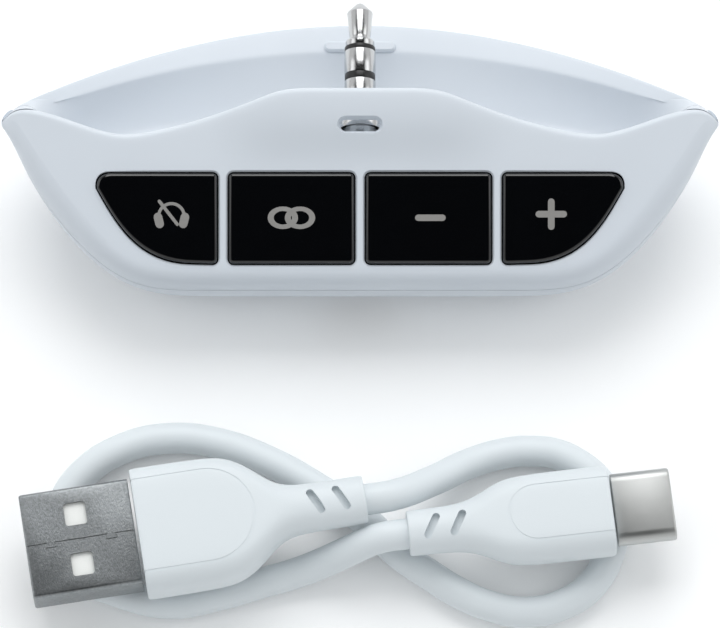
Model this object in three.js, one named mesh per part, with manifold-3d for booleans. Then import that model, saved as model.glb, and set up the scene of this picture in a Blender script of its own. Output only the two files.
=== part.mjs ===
// Clip-on wireless audio receiver for a game controller, with its charging lead.
// Millimetres, +Z up. It lies on its belly, keys up, and its plug points along +Y.
import * as THREE from 'three';
import { mergeVertices } from 'three/addons/utils/BufferGeometryUtils.js';
import Module from 'manifold-3d';

const wasm = await Module();
wasm.setup();
const { smoothstep, clamp, lerp } = THREE.MathUtils;

// ---- Driving sizes. u runs along X, v up the key face, w out of it; all start at the key row's centre
const HALF_WIDTH = 40;          // centre to tip
const FACE_TILT = THREE.MathUtils.degToRad(18);
const ROW_Y = -12.4;            // key row centre, from the face of the plug's collar
const ROW_Z = 14.5;             // key row centre, above the table
const CHIN_V = -7.2;            // front outline at the centre
const CHIN_SWEEP = 21.2;        // how far in from the tip the front outline starts to rise
const CHIN_RISE = 17.9;
const HOOD_V = 14.5;            // edge of the hood over the plug
const HOOD_HALF = 8.5;
const HOOD_DROP = 5.2;          // from the hood down to the lowest part of the rim
const HOOD_SLOPE = 18;          // width of that slope
const RIM_RISE = 3.0;           // rim's rise towards the tips
const RIM_RISE_RUN = 12.5;
const HOOD_FLARE = 1.6;         // the hood's edge lifts this far off the key face
const LIP_V = 22.57;            // back edge at the centre
const LIP_CURVE = 0.0066;       // and how it falls away, per mm squared
const LIP_Z = 4.0;
const LIP_CLIMB = 11.5;         // back edge's climb to the tips
const LIP_EDGE = 1.9;           // thickness of the back edge
const CREASE_SHARE = 0.71;      // where the soft crease runs, from the pocket wall to the back edge
const FACE_FALL = 2.0;          // face's fall at the tips
const BELLY_RUN = 6.1;          // belly's flat part starts this far behind the chin
const BELLY_FLAT_HALF = 10;
const BELLY_LIFT = 12;          // underside's lift at the tips
const TIP_ROUND = 2.6;
const WALL = 1.7;
const FACE_WALL = 1.6;
const HOOD_WALL = 1.7;
const FLOOR = 2.9;              // pocket floor above the underside
const CHANNEL_DEPTH = 0.7;      // shallow channel under the plug
const CHANNEL_HALF = 7;
const SEAM_W = -2.4;            // seam between the shells, below the key face
const SEAT = 0.3;               // gap between pieces that rest on each other

const POCKET_WALL_Y = -1.2;     // pocket wall on the plug's axis
const POCKET_SLANT = 0.45;
const POCKET_BOW = 0.0022;
const POCKET_MARGIN = 1.8;      // solid tip past the pocket's end
const CAVITY_MARGIN = 8.5;

const KEY_V_LOW = -4.98;
const KEY_V_HIGH = 5.03;
const KEY_GAP = 1.3;            // white bars between the keys
const INNER_KEY_LENGTH = 13.9;
const KEY_END_MARGIN = 10.8;    // outer key's end, in from the tip
const KEY_CORNER = 0.5;
const KEY_PROUD = 0.35;
const KEY_BEVEL = 0.35;
const KEY_CLEARANCE = 0.2;
const KEY_FLANGE = 0.6;
const KEY_FLANGE_T = 0.7;
const KEY_TRAVEL = 0.5;

const BOARD_T = 1.0;
const BOARD_DEPTH = 5.2;        // board's top, below the key face
const BOARD_MARGIN = 12;
const BOARD_V_LOW = -5.0;
const BOARD_V_HIGH = 5.6;
const SWITCH_SIZE = 3.6;
const SWITCH_H = 1.5;
const PLUNGER_R = 0.9;
const PLUNGER_FIT = 0.2;

const PLUG_Z = 12;
const PLUG_R = 1.75;
const COLLAR_R = 2.5;
const COLLAR_T = 1.2;
const BARREL_R = 2.1;
const BOSS_R = 3.3;
const BOSS_BACK = 2.6;          // boss behind the collar's seat
const SLOT_V = 10.33;
const SLOT_LENGTH = 4.4;
const SLOT_WIDTH = 1.3;
const SLOT_MOUTH = 0.4;

const SOCKET_WIDTH = 8.94;
const SOCKET_HEIGHT = 3.26;
const SOCKET_LENGTH = 6.6;
const SOCKET_WALL = 0.3;
const SOCKET_MOUTH_V = -8.2;
const CELL = { length: 35, width: 9.2, height: 4.0, back: -1.4 };
const SCREW_U = 15;
const SCREW_V = -3.9;
const SCREW_R = 0.7;
const POST_R = 1.6;

const CORD_R = 1.75;
const A_PLUG = { relief: [0.55, -42.8, 7.6], yaw: -170.8, grip: 25.3, width: 14.5, height: 7.4, neck: 9.5 };
const C_PLUG = { relief: [5.3, -46.5, 6.8], yaw: 6.7, grip: 22.6, width: 10, height: 6, neck: 7 };

// ---- Materials
const plastic = (color, roughness) => new THREE.MeshStandardMaterial({ color, roughness, metalness: 0 });
const metal = (color, roughness) => new THREE.MeshStandardMaterial({ color, roughness, metalness: 1 });
const white = () => plastic(0xe6e9ec, 0.4);
const gloss = () => plastic(0x060606, 0.08);
const steel = () => metal(0xb9bcc0, 0.25);

// ---- Joining and cutting
function toSolid(geometry) {
  const g = geometry.index ? geometry.clone() : mergeVertices(geometry.clone());
  g.deleteAttribute('normal');
  g.deleteAttribute('uv');
  const merged = mergeVertices(g, 1e-5);
  return new wasm.Manifold(new wasm.Mesh({
    numProp: 3,
    vertProperties: new Float32Array(merged.attributes.position.array),
    triVerts: new Uint32Array(merged.index.array),
  }));
}

function toGeometry(solid) {
  const mesh = solid.getMesh();
  const g = new THREE.BufferGeometry();
  g.setAttribute('position', new THREE.BufferAttribute(mesh.vertProperties, 3));
  g.setIndex(new THREE.BufferAttribute(mesh.triVerts, 1));
  g.computeVertexNormals();
  return g;
}

const cut = (base, ...tools) => toGeometry(tools.reduce((s, t) => s.subtract(toSolid(t)), toSolid(base)));
const join = (base, ...more) => toGeometry(more.reduce((s, t) => s.add(toSolid(t)), toSolid(base)));
const common = (a, b) => toGeometry(toSolid(a).intersect(toSolid(b)));

const box = (lx, ly, lz, x = 0, y = 0, z = 0) => new THREE.BoxGeometry(lx, ly, lz).translate(x, y, z);

// Cylinder along Y between two places, or along Z
const rodY = (r, y0, y1, sides = 24) => new THREE.CylinderGeometry(r, r, y1 - y0, sides)
  .translate(0, (y0 + y1) / 2, 0);
const rodZ = (r, z0, z1, sides = 16) => rodY(r, z0, z1, sides).rotateX(Math.PI / 2);

function pill(length, width) {
  const r = width / 2;
  const half = length / 2 - r;
  const s = new THREE.Shape();
  s.absarc(half, 0, r, -Math.PI / 2, Math.PI / 2);
  s.absarc(-half, 0, r, Math.PI / 2, 1.5 * Math.PI);
  s.closePath();
  return s;
}

const slab = (shape, z0, z1, segments = 3) => new THREE.ExtrudeGeometry(shape,
  { depth: z1 - z0, bevelEnabled: false, curveSegments: segments }).translate(0, 0, z0);

// ---- The hull, as sections square to X. Each section is four curves joined into a patch
const yz = (y, z) => new THREE.Vector2(y, z);
const facePoint = (v, w) => yz(
  ROW_Y + v * Math.cos(FACE_TILT) - w * Math.sin(FACE_TILT),
  ROW_Z + v * Math.sin(FACE_TILT) + w * Math.cos(FACE_TILT),
);
const faceMatrix = new THREE.Matrix4().makeRotationX(FACE_TILT).setPosition(0, ROW_Y, ROW_Z);
const onFace = (geometry) => geometry.applyMatrix4(faceMatrix);
const share = (x) => Math.abs(x) / HALF_WIDTH;

const chinV = (x) => CHIN_V + CHIN_RISE
  * Math.pow(Math.max(0, Math.abs(x) - (HALF_WIDTH - CHIN_SWEEP)) / CHIN_SWEEP, 2.6);

function rimV(x) {
  const t = clamp((Math.abs(x) - HOOD_HALF) / HOOD_SLOPE, 0, 1);
  const drop = HOOD_DROP * (1 - Math.pow(1 - t, 1.5));
  const end = HALF_WIDTH - 2;
  return HOOD_V - drop + RIM_RISE * smoothstep(Math.abs(x), end - RIM_RISE_RUN, end);
}

const faceFall = (x) => -FACE_FALL * Math.pow(share(x), 8);
const faceW = (x, v) => faceFall(x)
  + HOOD_FLARE * smoothstep(v, KEY_V_HIGH + 0.6, HOOD_V - 2.5)
  * (1 - smoothstep(Math.abs(x), HOOD_HALF, HOOD_HALF + 9));

const lift = (x) => BELLY_LIFT
  * Math.pow(Math.max(0, Math.abs(x) - BELLY_FLAT_HALF) / (HALF_WIDTH - BELLY_FLAT_HALF), 3);

function lipPoint(x) {
  const z = LIP_Z + LIP_CLIMB * Math.pow(share(x), 3);
  const v = LIP_V - LIP_CURVE * x * x;
  return yz(ROW_Y + (v - Math.sin(FACE_TILT) * (z - ROW_Z)) / Math.cos(FACE_TILT), z);
}

function patch({ under, over, front, back }, s, t) {
  const mix = (a, b, k) => a.clone().lerp(b, k);
  const corners = mix(mix(under(0), under(1), s), mix(over(0), over(1), s), t);
  return mix(under(s), over(s), t).add(mix(front(t), back(t), s)).sub(corners);
}

// A box whose sections along X are patches: s runs front to back, t runs upwards
function loft(halfLength, [nx, ny, nz], sectionAt) {
  const g = new THREE.BoxGeometry(2, 1, 1, nx, ny, nz);
  const p = g.attributes.position;
  for (let i = 0; i < p.count; i++) {
    const a = p.getX(i);
    const x = halfLength * 0.5 * (a + Math.sin(a * Math.PI / 2));
    const q = patch(sectionAt(x), p.getY(i) + 0.5, p.getZ(i) + 0.5);
    p.setXYZ(i, x, q.x, q.y);
  }
  return g;
}

const curve = (...points) => {
  const c = points.length === 4 ? new THREE.CubicBezierCurve(...points)
    : new THREE.QuadraticBezierCurve(...points);
  return (t) => c.getPoint(t);
};
const line = (a, b) => (t) => a.clone().lerp(b, t);
const CHIN_ROLL = 1.2;          // the face ends this far inside the front outline

// Belly and chin at x, `inset` inside the outer skin
function chinCurve(x, inset) {
  const v = chinV(x) + CHIN_ROLL + inset * 0.35;
  const top = facePoint(v, faceW(x, v) - inset * FACE_WALL / WALL);
  const outerTop = facePoint(chinV(x) + CHIN_ROLL, faceW(x, chinV(x)));
  const foot = yz(outerTop.x + BELLY_RUN, lift(x) + inset);
  const belly = yz(foot.x - 7.5 + inset * 1.15, foot.y);
  const along = facePoint(v - 2.6 + inset * 0.6, faceW(x, v) - inset * FACE_WALL / WALL);
  return { foot, top, front: curve(foot, belly, along, top) };
}

function hullSection(x) {
  const { foot, top, front } = chinCurve(x, 0);
  const lip = lipPoint(x);
  const flatEnd = yz(lerp(foot.x, lip.x, 0.6), foot.y);
  const edge = yz(lip.x, Math.max(lip.y - LIP_EDGE, foot.y + 0.3));
  const rise = curve(flatEnd, yz(lerp(foot.x, lip.x, 0.85), foot.y), edge);
  const v0 = chinV(x) + CHIN_ROLL;
  const v1 = Math.max(rimV(x), v0 + 0.3);
  const rim = facePoint(v1, faceW(x, v1));
  const section = {
    under: (s) => (s < 0.5 ? foot.clone().lerp(flatEnd, s * 2) : rise(s * 2 - 1)),
    over: (s) => facePoint(lerp(v0, v1, s), faceW(x, lerp(v0, v1, s))),
    front,
    back: (t) => (t < 0.25 ? edge.clone().lerp(lip, t * 4) : lip.clone().lerp(rim, (t - 0.25) / 0.75)),
  };
  const k = clamp((Math.abs(x) - (HALF_WIDTH - TIP_ROUND)) / TIP_ROUND, 0, 0.985);
  const centre = foot.clone().add(top).add(rim).add(lip).multiplyScalar(0.25);
  const shrink = (c) => (t) => c(t).lerp(centre, 1 - Math.sqrt(1 - k * k));
  return Object.fromEntries(Object.entries(section).map(([name, c]) => [name, shrink(c)]));
}

const pocketHalf = HALF_WIDTH - POCKET_MARGIN;
const wallY = (x, z) => POCKET_WALL_Y + (PLUG_Z - z) * POCKET_SLANT - POCKET_BOW * x * x;

// Place on the pocket wall, `inset` behind it, at depth w below the key face
function wallAt(x, w, inset = 0) {
  const y0 = wallY(x, 0) - inset;
  const s = Math.sin(FACE_TILT);
  const c = Math.cos(FACE_TILT);
  const z = (w + ROW_Z * c + (y0 - ROW_Y) * s) / (c + POCKET_SLANT * s);
  return yz(y0 - POCKET_SLANT * z, z);
}
const vOf = (p) => (p.x - ROW_Y) * Math.cos(FACE_TILT) + (p.y - ROW_Z) * Math.sin(FACE_TILT);

// The room for the controller's chin, open to the back
function pocketSection(x) {
  const k = clamp((Math.abs(x) - (pocketHalf - 5)) / 5, 0, 0.97);
  const close = 1 - Math.sqrt(1 - k * k);
  const lip = lipPoint(x);
  const floorZ = Math.min(lift(x) + FLOOR + 1.5 * close, lip.y - 0.2);
  const heel = yz(wallY(x, floorZ) + 1.5 * close, floorZ);
  const roof = -HOOD_WALL;
  const wallTop = wallAt(x, faceW(x, 8) + roof);
  const v0 = vOf(wallTop);
  const v1 = Math.max(rimV(x), v0 + 0.4);
  const crease = yz(lerp(heel.x, lip.x, CREASE_SHARE), lip.y + 0.25);
  const dip = CHANNEL_DEPTH * (1 - smoothstep(Math.abs(x), CHANNEL_HALF / 2, CHANNEL_HALF));
  const far = lip.clone().add(lip.clone().sub(crease));
  const under = (s) => {
    if (s < 0.75) {
      const t = s / 0.75;
      const p = heel.clone().lerp(yz(crease.x, heel.y), t);
      p.y = lerp(heel.y, crease.y, t * t) - dip * Math.sin(Math.PI * Math.min(1, t * 0.9 + 0.1));
      return p;
    }
    return s < 0.875 ? crease.clone().lerp(lip, (s - 0.75) * 8) : lip.clone().lerp(far, (s - 0.875) * 8);
  };
  const over = (s) => {
    if (s <= 0.5) {
      const v = lerp(v0, v1, s * 2);
      return facePoint(v, faceW(x, v) + roof);
    }
    const t = s * 2 - 1;
    return facePoint(v1 + 0.4, faceW(x, v1) + 3).lerp(yz(far.x, ROW_Z + 12), (t - 0.25) / 0.75);
  };
  return { under, over, front: line(under(0), over(0)), back: line(under(1), over(1)) };
}

function cavitySection(x) {
  const { foot, top, front } = chinCurve(x, WALL);
  const behind = WALL * 1.05;
  const back = wallAt(x, faceW(x, 0) - FACE_WALL, behind);
  const heel = yz(wallY(x, foot.y) - behind, foot.y);
  return { under: line(foot, heel), over: line(top, back), front, back: line(heel, back) };
}

function seamSection(offset) {
  return (x) => {
    const w = SEAM_W + faceFall(x) + offset;
    const [a, b] = [facePoint(-20, w), facePoint(45, w)];
    const up = yz(0, 40);
    const [c, d] = [a.clone().add(up), b.clone().add(up)];
    return { under: line(a, b), over: line(c, d), front: line(a, c), back: line(b, d) };
  };
}

// ---- Key outlines
const innerKeyStart = KEY_GAP / 2;
const innerKeyEnd = innerKeyStart + INNER_KEY_LENGTH;
const outerKeyStart = innerKeyEnd + KEY_GAP;
const outerKeyEnd = HALF_WIDTH - KEY_END_MARGIN;

function innerKey(side, grow) {
  const [u0, u1] = [innerKeyStart - grow, innerKeyEnd + grow];
  const [v0, v1] = [KEY_V_LOW - grow, KEY_V_HIGH + grow];
  const r = KEY_CORNER + grow;
  const s = new THREE.Shape();
  s.absarc(u1 - r, v0 + r, r, -Math.PI / 2, 0);
  s.absarc(u1 - r, v1 - r, r, 0, Math.PI / 2);
  s.absarc(u0 + r, v1 - r, r, Math.PI / 2, Math.PI);
  s.absarc(u0 + r, v0 + r, r, Math.PI, 1.5 * Math.PI);
  s.closePath();
  return mirrored(s, side);
}

// The outer keys sweep up with the front outline
function outerKey(side, grow) {
  const [u0, u1] = [outerKeyStart - grow, outerKeyEnd + grow];
  const [v0, v1] = [KEY_V_LOW - grow, KEY_V_HIGH + grow];
  const r = KEY_CORNER + grow;
  const sweep = Math.min(10.7, (u1 - u0) * 0.8);
  const s = new THREE.Shape();
  s.moveTo(u0 + r, v0);
  s.lineTo(u1 - sweep, v0 + 0.06);
  s.bezierCurveTo(u1 - sweep * 0.42, v0 + 0.1, u1 - sweep * 0.2, v1 - 5.4 - grow, u1, v1 - 1.63 - grow);
  s.quadraticCurveTo(u1 + 0.1, v1 - 0.2, u1 - 1.3, v1);
  s.absarc(u0 + r, v1 - r, r, Math.PI / 2, Math.PI);
  s.absarc(u0 + r, v0 + r, r, Math.PI, 1.5 * Math.PI);
  s.closePath();
  return mirrored(s, side);
}

function mirrored(shape, side) {
  if (side > 0) return shape;
  const points = shape.getPoints(3).map((p) => new THREE.Vector2(-p.x, p.y)).reverse();
  return new THREE.Shape(points);
}

const KEYS = [
  { name: 'mute', outline: outerKey, side: -1, u: -(outerKeyStart + 5.5), v: 0.4 },
  { name: 'pair', outline: innerKey, side: -1, u: -(innerKeyStart + innerKeyEnd) / 2, v: 0 },
  { name: 'minus', outline: innerKey, side: 1, u: (innerKeyStart + innerKeyEnd) / 2, v: 0 },
  { name: 'plus', outline: outerKey, side: 1, u: outerKeyStart + 5.5, v: 0.4 },
];

// ---- Depths below the key face
const flangeTop = -FACE_WALL - SEAT;
const keyUnder = flangeTop - KEY_FLANGE_T;
const boardTop = -BOARD_DEPTH;
const boardUnder = boardTop - BOARD_T;
const switchTop = boardTop + SEAT + SWITCH_H;
const plungerTop = keyUnder - SEAT;
const plungerUnder = switchTop - 0.45;
const boreUnder = plungerUnder - KEY_TRAVEL - 0.15;
const socketW = boardUnder - SEAT - SOCKET_HEIGHT / 2;

function keyCap({ outline, side }) {
  const cap = new THREE.ExtrudeGeometry(outline(side, -KEY_BEVEL), {
    depth: KEY_PROUD - keyUnder - KEY_BEVEL,
    bevelSize: KEY_BEVEL,
    bevelThickness: KEY_BEVEL,
    bevelSegments: 1,
    curveSegments: 3,
  }).translate(0, 0, keyUnder);
  const body = slab(outline(side, 0), keyUnder, keyUnder + 1);
  const flange = slab(outline(side, KEY_FLANGE), keyUnder, flangeTop);
  const trimmed = common(cap, box(200, 60, KEY_PROUD - keyUnder, 0, 0, (KEY_PROUD + keyUnder) / 2));
  return join(trimmed, body, flange);
}

// Anything that follows the charging socket's outline, along -v
function socketRun(length, width, height, v0) {
  return slab(pill(width, height), 0, length, 6).rotateX(Math.PI / 2).translate(0, v0 + length, socketW);
}

function buildShells() {
  const windows = KEYS.map((k) => onFace(slab(k.outline(k.side, KEY_CLEARANCE), -FACE_WALL - 2, 6)));
  const slot = onFace(slab(pill(SLOT_LENGTH, SLOT_WIDTH), -6, 6).translate(0, SLOT_V, 0));
  const mouth = onFace(new THREE.ExtrudeGeometry(pill(SLOT_LENGTH, SLOT_WIDTH),
    { depth: 4, bevelSize: SLOT_MOUTH, bevelThickness: SLOT_MOUTH, bevelSegments: 1, curveSegments: 5 })
    .translate(0, SLOT_V, faceW(0, SLOT_V)));
  const socketHole = onFace(socketRun(7, SOCKET_WIDTH + 2 * SEAT, SOCKET_HEIGHT + 2 * SEAT, -13));
  const plugAxis = (g) => g.translate(0, 0, PLUG_Z);
  const boss = plugAxis(rodY(BOSS_R, POCKET_WALL_Y - BOSS_BACK, POCKET_WALL_Y));
  const recess = plugAxis(rodY(BOSS_R, POCKET_WALL_Y, POCKET_WALL_Y + 5));
  const bore = plugAxis(rodY(BARREL_R + SEAT, POCKET_WALL_Y - BOSS_BACK - 1, POCKET_WALL_Y + 1));

  const hull = cut(loft(HALF_WIDTH, [24, 7, 5], hullSection), loft(pocketHalf, [22, 6, 2], pocketSection));
  const hollow = cut(hull, loft(HALF_WIDTH - CAVITY_MARGIN, [14, 1, 5], cavitySection));
  const posts = [-1, 1].map((side) => common(hull,
    onFace(rodZ(POST_R, boardUnder - SEAT - 9, boardUnder - SEAT).translate(side * SCREW_U, SCREW_V, 0))));
  const pilots = [-1, 1].map((side) =>
    onFace(rodZ(SCREW_R + SEAT, boardUnder - 4.5, boardUnder).translate(side * SCREW_U, SCREW_V, 0)));
  const rib = pocketRib();
  const shell = cut(join(hollow, common(boss, hull), ...posts, rib), ...windows, slot, mouth, recess, bore,
    socketHole, ...pilots);
  return {
    front: common(shell, loft(HALF_WIDTH * 1.2, [16, 1, 1], seamSection(SEAT / 2))),
    rear: cut(shell, loft(HALF_WIDTH * 1.2, [16, 1, 1], seamSection(-SEAT / 2))),
  };
}

// Short raised rib on the back lip
function pocketRib() {
  const lip = lipPoint(0);
  return slab(pill(8.2, 1.3), 0, 1.4, 6).translate(0, lip.x - 2.9, lip.y - 0.75);
}

// ---- The 3.5 mm plug: one stack of turned pieces along +Y
const PLUG_STACK = [
  ['plug_sleeve', 0, 1.7, 'steel'],
  ['plug_band_rear', 1.7, 2.3, 'dark'],
  ['plug_ring_rear', 2.3, 4.7, 'steel'],
  ['plug_band_middle', 4.7, 5.5, 'dark'],
  ['plug_ring_front', 5.5, 8.25, 'steel'],
  ['plug_band_front', 8.25, 8.8, 'dark'],
];
const TIP_PROFILE = [[0, 0], [1.6, 0], [1.6, 0.7], [1.15, 0.9], [1.45, 4.15], [0.43, 5.2], [0, 5.2]];

// ---- Charging lead
// Narrow at the cord, then flaring to the full width and height
function grip({ grip: length, width, height, neck }) {
  const r = CORD_R + 0.8;
  const half = width / 2;
  const profile = new THREE.Shape();
  profile.moveTo(0, -r);
  profile.lineTo(neck * 0.6, -r - 0.1);
  profile.bezierCurveTo(neck * 1.15, -r - 0.4, neck, -half, neck * 1.6, -half);
  profile.lineTo(length - 1, -half);
  profile.quadraticCurveTo(length, -half, length, -half + 1);
  profile.lineTo(length, half - 1);
  profile.quadraticCurveTo(length, half, length - 1, half);
  profile.lineTo(neck * 1.6, half);
  profile.bezierCurveTo(neck, half, neck * 1.15, r + 0.4, neck * 0.6, r + 0.1);
  profile.lineTo(0, r);
  profile.closePath();
  const side = new THREE.Shape();
  side.moveTo(0, -r);
  side.quadraticCurveTo(neck * 1.2, -r - 0.2, neck * 1.6, -height / 2);
  side.lineTo(length, -height / 2);
  side.lineTo(length, height / 2);
  side.lineTo(neck * 1.6, height / 2);
  side.quadraticCurveTo(neck * 1.2, r + 0.2, 0, r);
  side.closePath();
  return common(slab(profile, -height, height, 8), slab(side, -width, width, 8).rotateX(Math.PI / 2));
}

const placed = (plug, ...children) => {
  const g = new THREE.Group();
  g.position.set(...plug.relief);
  g.rotation.z = THREE.MathUtils.degToRad(plug.yaw);
  g.add(...children);
  return g;
};

function mesh(name, geometry, material) {
  const m = new THREE.Mesh(geometry, material);
  m.name = name;
  return m;
}

function aPlug() {
  const front = A_PLUG.grip + SEAT;
  const length = 12.1;
  const outer = box(length, 12, 4.5, front + length / 2, 0, 0);
  const inner = box(length, 11.4, 3.9, front + length / 2 + 0.3, 0, 0);
  const windows = [-1, 1].map((s) => box(2.4, 2.6, 2, front + 6.4, s * 2.9, 2.2));
  const tongue = box(length - 1.5, 11.4 - 2 * 0.15, 1.7, front + 0.45 + (length - 1.5) / 2, 0, 0.95);
  return placed(A_PLUG,
    mesh('a_plug_shell', cut(outer, inner, ...windows), steel()),
    mesh('a_plug_tongue', tongue, plastic(0xf0efec, 0.5)),
    mesh('a_plug_grip', grip(A_PLUG), white()));
}

function cPlug() {
  const front = C_PLUG.grip + SEAT;
  const length = 6.5;
  const along = (g) => g.rotateX(Math.PI / 2).rotateZ(Math.PI / 2);
  const outer = along(slab(pill(8.25, 2.4), 0, length, 8)).translate(front, 0, 0);
  const inner = along(slab(pill(7.65, 1.8), 0, length, 8)).translate(front + 0.4, 0, 0);
  const insert = along(slab(pill(7.25, 1.4), 0, 2.2, 8)).translate(front + 0.6, 0, 0);
  return placed(C_PLUG,
    mesh('c_plug_shell', cut(outer, inner), steel()),
    mesh('c_plug_insert', insert, plastic(0x1b1b1d, 0.6)),
    mesh('c_plug_grip', grip(C_PLUG), white()));
}

// Two loops on the table, from the A plug's relief to the C plug's, in the frame of the plug's collar
const FLOOR_Z = CORD_R + 0.02;
const CORD_ROUTE = [
  [0.9, -42.74, 7.6], [3.6, -42.2, 7.2], [8.4, -39.5, 4.2], [12.4, -37.0, 2.2], [16.4, -35.7, FLOOR_Z],
  [19.1, -35.5, FLOOR_Z], [21.8, -35.8, FLOOR_Z], [24.5, -37.1, FLOOR_Z], [26.6, -39.0, FLOOR_Z],
  [28.5, -42.6, FLOOR_Z], [27.9, -46.6, FLOOR_Z], [26.1, -50.5, FLOOR_Z], [23.1, -52.9, FLOOR_Z],
  [18.6, -54.1, FLOOR_Z], [14.4, -53.4, FLOOR_Z], [10.8, -51.8, FLOOR_Z], [8.0, -50.0, FLOOR_Z],
  [4.1, -47.2, FLOOR_Z], [0.9, -43.9, FLOOR_Z], [-5.1, -39.6, FLOOR_Z], [-10.4, -36.6, FLOOR_Z],
  [-15.8, -34.6, FLOOR_Z], [-21.2, -34.0, FLOOR_Z], [-26.5, -35.2, FLOOR_Z], [-31.3, -38.6, FLOOR_Z],
  [-33.4, -42.6, FLOOR_Z], [-33.9, -46.0, FLOOR_Z], [-31.4, -49.8, FLOOR_Z], [-27.9, -51.4, FLOOR_Z],
  [-21.2, -53.1, FLOOR_Z], [-15.8, -52.2, FLOOR_Z], [-10.4, -50.6, FLOOR_Z], [-7.4, -49.75, 1.85],
  [-4.4, -48.85, 2.8], [-1.4, -47.95, 4.6], [2.0, -46.95, 6.5], [4.94, -46.54, 6.8],
];

function leadCord() {
  const path = new THREE.CatmullRomCurve3(CORD_ROUTE.map((p) => new THREE.Vector3(...p)));
  const section = new THREE.Shape();
  section.absarc(0, 0, CORD_R, 0, 2 * Math.PI);
  return mesh('lead_cord', new THREE.ExtrudeGeometry(section,
    { extrudePath: path, steps: 66, curveSegments: 4, bevelEnabled: false }), plastic(0xe2e3e4, 0.5));
}

// ---- Inside
function board() {
  const half = HALF_WIDTH - BOARD_MARGIN;
  const cornerU = half - 7;
  const s = new THREE.Shape([
    [cornerU, BOARD_V_LOW], [half, 0.5], [half, BOARD_V_HIGH], [5, BOARD_V_HIGH], [5, 2.4], [-5, 2.4],
    [-5, BOARD_V_HIGH], [-half, BOARD_V_HIGH], [-half, 0.5], [-cornerU, BOARD_V_LOW],
  ].map(([u, v]) => new THREE.Vector2(u, v)));
  const holes = [-1, 1].map((side) => rodZ(SCREW_R + SEAT, boardUnder - 1, boardTop + 1)
    .translate(side * SCREW_U, SCREW_V, 0));
  return cut(slab(s, boardUnder, boardTop), ...holes);
}

function switchParts({ name, u, v }) {
  const base = boardTop + SEAT;
  const body = cut(box(SWITCH_SIZE, SWITCH_SIZE, SWITCH_H, 0, 0, base + SWITCH_H / 2),
    rodZ(PLUNGER_R + PLUNGER_FIT, boreUnder, switchTop + 1)).translate(u, v, 0);
  return [
    mesh(`${name}_switch`, body, steel()),
    mesh(`${name}_plunger`, rodZ(PLUNGER_R, plungerUnder, plungerTop).translate(u, v, 0),
      plastic(0x222222, 0.5)),
  ];
}

function chips() {
  const dark = () => plastic(0x17181a, 0.5);
  const hang = boardUnder - SEAT;
  const below = (lu, lv, h, u, v) => box(lu, lv, h, u, v, hang - h / 2);
  const can = cut(below(7, 7, 1.5, 20.8, 1.5), below(6.5, 6.5, 1.25, 20.8, 1.5));
  return [
    mesh('radio_chip', below(5, 5, 0.8, 20.8, 1.5), dark()),
    mesh('shield_can', can, steel()),
    mesh('audio_chip', below(5, 5, 0.9, -9.6, -1), dark()),
    mesh('power_chip', below(3, 3, 0.9, -20, -1), dark()),
    mesh('crystal', below(3.2, 2.5, 0.8, 9.5, 0), steel()),
    mesh('antenna', box(2, 6, 1, HALF_WIDTH - BOARD_MARGIN - 1.6, 2.2, boardTop + SEAT + 0.5),
      plastic(0xe8e4d8, 0.5)),
    mesh('status_led', below(1.6, 0.8, 0.6, 7.2, BOARD_V_LOW + 1), plastic(0xf5f5e0, 0.3)),
  ];
}

function socket() {
  const outer = socketRun(SOCKET_LENGTH, SOCKET_WIDTH, SOCKET_HEIGHT, SOCKET_MOUTH_V);
  const inner = socketRun(SOCKET_LENGTH, SOCKET_WIDTH - 2 * SOCKET_WALL, SOCKET_HEIGHT - 2 * SOCKET_WALL,
    SOCKET_MOUTH_V - SOCKET_WALL);
  const back = SOCKET_MOUTH_V + SOCKET_LENGTH - SOCKET_WALL - 0.1;
  const base = box(6.8, 1.2, 2, 0, back - 0.6, socketW);
  const tongue = box(6.7, 4.6, 0.7, 0, back - 3, socketW);
  return [
    mesh('socket_shell', cut(outer, inner), steel()),
    mesh('socket_tongue', join(base, tongue), plastic(0x1b1b1d, 0.5)),
  ];
}

function boardScrew(side) {
  const seat = boardTop + SEAT;
  const screw = join(rodZ(1.3, seat, seat + 0.8), rodZ(SCREW_R, boardUnder - 4, seat + 0.4));
  return mesh(side < 0 ? 'board_screw_left' : 'board_screw_right',
    screw.translate(side * SCREW_U, SCREW_V, 0), steel());
}

function batteryLead(name, offset, color) {
  const x = -CELL.length / 2;
  const end = facePoint(2.2, boardUnder - SEAT);
  const path = new THREE.CatmullRomCurve3([
    [x - 0.3, -6 + offset, 4], [x - 1.4, -6.4 + offset, 4.6], [x - 2, end.x + offset, end.y - 1.6],
    [x - 2, end.x + offset, end.y - 0.3],
  ].map((p) => new THREE.Vector3(...p)));
  const section = new THREE.Shape();
  section.absarc(0, 0, 0.45, 0, 2 * Math.PI);
  return mesh(name, new THREE.ExtrudeGeometry(section,
    { extrudePath: path, steps: 8, curveSegments: 4, bevelEnabled: false }), plastic(color, 0.5));
}

function battery() {
  const floor = WALL + SEAT;
  const padHeight = 0.4;
  const y = CELL.back - CELL.width / 2;
  const base = floor + padHeight + 0.1;
  return [
    mesh('battery_pad', box(CELL.length - 6, CELL.width - 2, padHeight, 0, y, floor + padHeight / 2 - 0.1),
      plastic(0x333333, 0.9)),
    mesh('battery_cell', box(CELL.length, CELL.width, CELL.height, 0, y, base + CELL.height / 2),
      metal(0xa9adb2, 0.45)),
    batteryLead('battery_lead_plus', 0.8, 0xb02020),
    batteryLead('battery_lead_minus', -0.8, 0x181818),
  ];
}

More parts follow.
